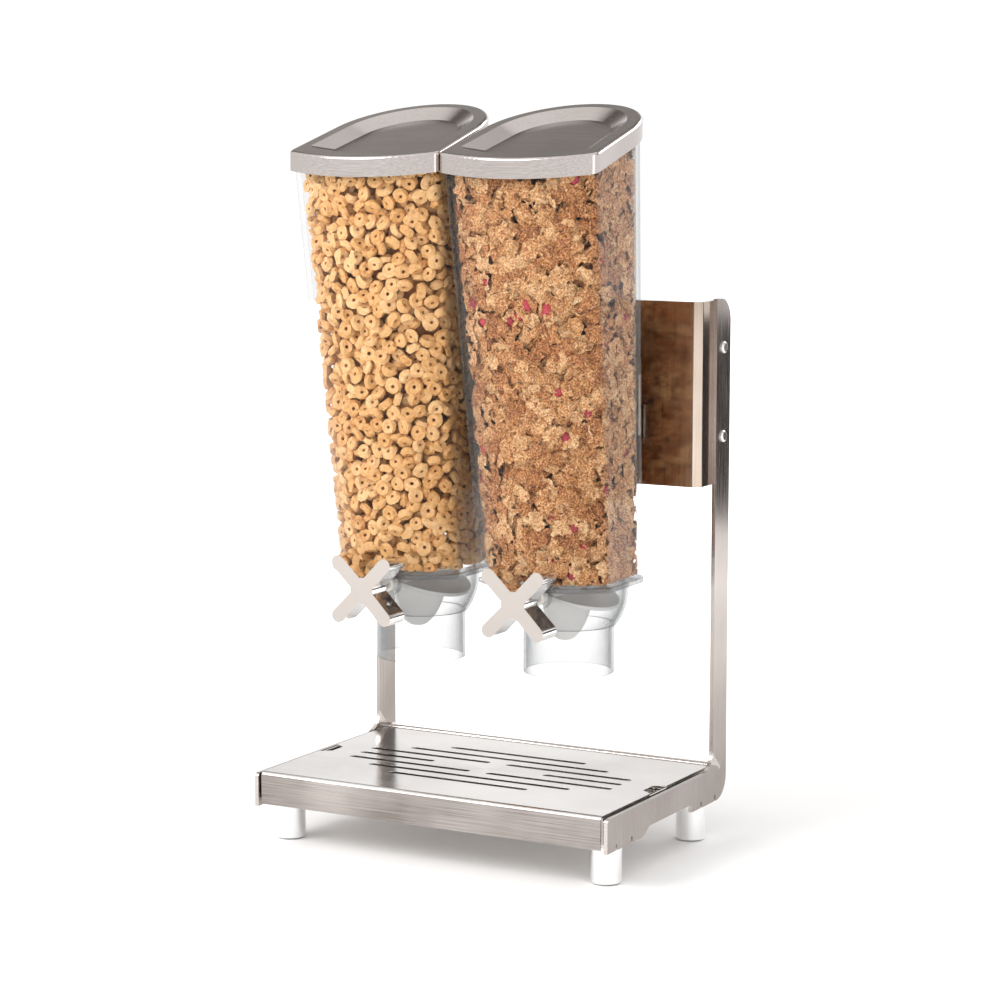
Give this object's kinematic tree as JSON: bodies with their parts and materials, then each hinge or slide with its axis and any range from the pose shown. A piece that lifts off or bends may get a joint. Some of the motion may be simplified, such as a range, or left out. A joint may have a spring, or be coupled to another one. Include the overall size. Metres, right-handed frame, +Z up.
{
  "type": "cereal dispenser",
  "caption": "Twin cereal dispenser: lean clear hoppers with paddle wheels and cross knobs, hung on a steel stand with feet and a slotted crumb tray.",
  "frame": {"origin": "on the table under the middle of the stand's footprint", "axes": "+Z up, -Y towards the knobs at the front, +X to the viewer's right"},
  "size_m": [0.2934, 0.195, 0.5385],
  "materials": {
    "brushed_stainless_frame": "brushed",
    "stainless_sheet": "fine brushed",
    "lid_stainless": "polished and lightly brushed",
    "turned_stainless": "turned",
    "satin_aluminium": "satin",
    "satin_zinc_knob": "satin face, polished edges",
    "clear_polycarbonate": "clear",
    "white_silicone": "translucent matte",
    "clear_silicone": "translucent",
    "white_nylon": "moulded",
    "black_rubber": "matte"
  },
  "bodies": {
    "stand": {"left_side_frame": "brushed_stainless_frame", "right_side_frame": "brushed_stainless_frame", "cross_rod": "brushed_stainless_frame", "rod_ferrules": "turned_stainless", "back_bracket": "brushed_stainless_frame", "left_bracket_rivets": "turned_stainless", "right_bracket_rivets": "turned_stainless", "hanger_screws": "turned_stainless", "front_left_foot": "satin_aluminium", "front_right_foot": "satin_aluminium", "rear_left_foot": "satin_aluminium", "rear_right_foot": "satin_aluminium", "foot_pads": "black_rubber", "foot_screws": "turned_stainless", "left_hanger": "stainless_sheet", "right_hanger": "stainless_sheet"},
    "crumb_tray": {"crumb_tray": "stainless_sheet"},
    "tray_cover": {"tray_cover": "stainless_sheet"},
    "left_canister": {"left_canister": "clear_polycarbonate", "left_canister_hook": "stainless_sheet", "left_hook_screws": "turned_stainless", "left_wheel_housing": "clear_polycarbonate", "left_outlet_spout": "clear_polycarbonate", "left_front_bush": "white_nylon", "left_rear_bush": "white_nylon"},
    "left_lid": {"left_lid_cover": "lid_stainless", "left_lid_gasket": "clear_silicone"},
    "left_wheel": {"left_drive_shaft": "turned_stainless", "left_retaining_ring": "turned_stainless", "left_paddle_wheel": "white_silicone", "left_knob": "satin_zinc_knob", "left_knob_set_screw": "turned_stainless"},
    "right_canister": {"right_canister": "clear_polycarbonate", "right_canister_hook": "stainless_sheet", "right_hook_screws": "turned_stainless", "right_wheel_housing": "clear_polycarbonate", "right_outlet_spout": "clear_polycarbonate", "right_front_bush": "white_nylon", "right_rear_bush": "white_nylon"},
    "right_lid": {"right_lid_cover": "lid_stainless", "right_lid_gasket": "clear_silicone"},
    "right_wheel": {"right_drive_shaft": "turned_stainless", "right_retaining_ring": "turned_stainless", "right_paddle_wheel": "white_silicone", "right_knob": "satin_zinc_knob", "right_knob_set_screw": "turned_stainless"}
  },
  "joints": [
    {"name": "crumb_tray_lift", "type": "slide", "parent": "stand", "child": "crumb_tray", "axis": [0, 0, 1], "range_m": [0, 0.03]},
    {"name": "tray_cover_lift", "type": "slide", "parent": "crumb_tray", "child": "tray_cover", "axis": [0, 0, 1], "range_m": [0, 0.035]},
    {"name": "left_canister_lift", "type": "slide", "parent": "stand", "child": "left_canister", "axis": [0, 0, 1], "range_m": [0, 0.03]},
    {"name": "left_lid_lift", "type": "slide", "parent": "left_canister", "child": "left_lid", "axis": [0, 0, 1], "range_m": [0, 0.06]},
    {"name": "left_wheel_spin", "type": "hinge", "parent": "left_canister", "child": "left_wheel", "pos_m": [-0.062, 0.003, 0.192], "axis": [0, 1, 0], "continuous": true},
    {"name": "right_canister_lift", "type": "slide", "parent": "stand", "child": "right_canister", "axis": [0, 0, 1], "range_m": [0, 0.03]},
    {"name": "right_lid_lift", "type": "slide", "parent": "right_canister", "child": "right_lid", "axis": [0, 0, 1], "range_m": [0, 0.06]},
    {"name": "right_wheel_spin", "type": "hinge", "parent": "right_canister", "child": "right_wheel", "pos_m": [0.062, 0.003, 0.192], "axis": [0, 1, 0], "continuous": true}
  ]
}
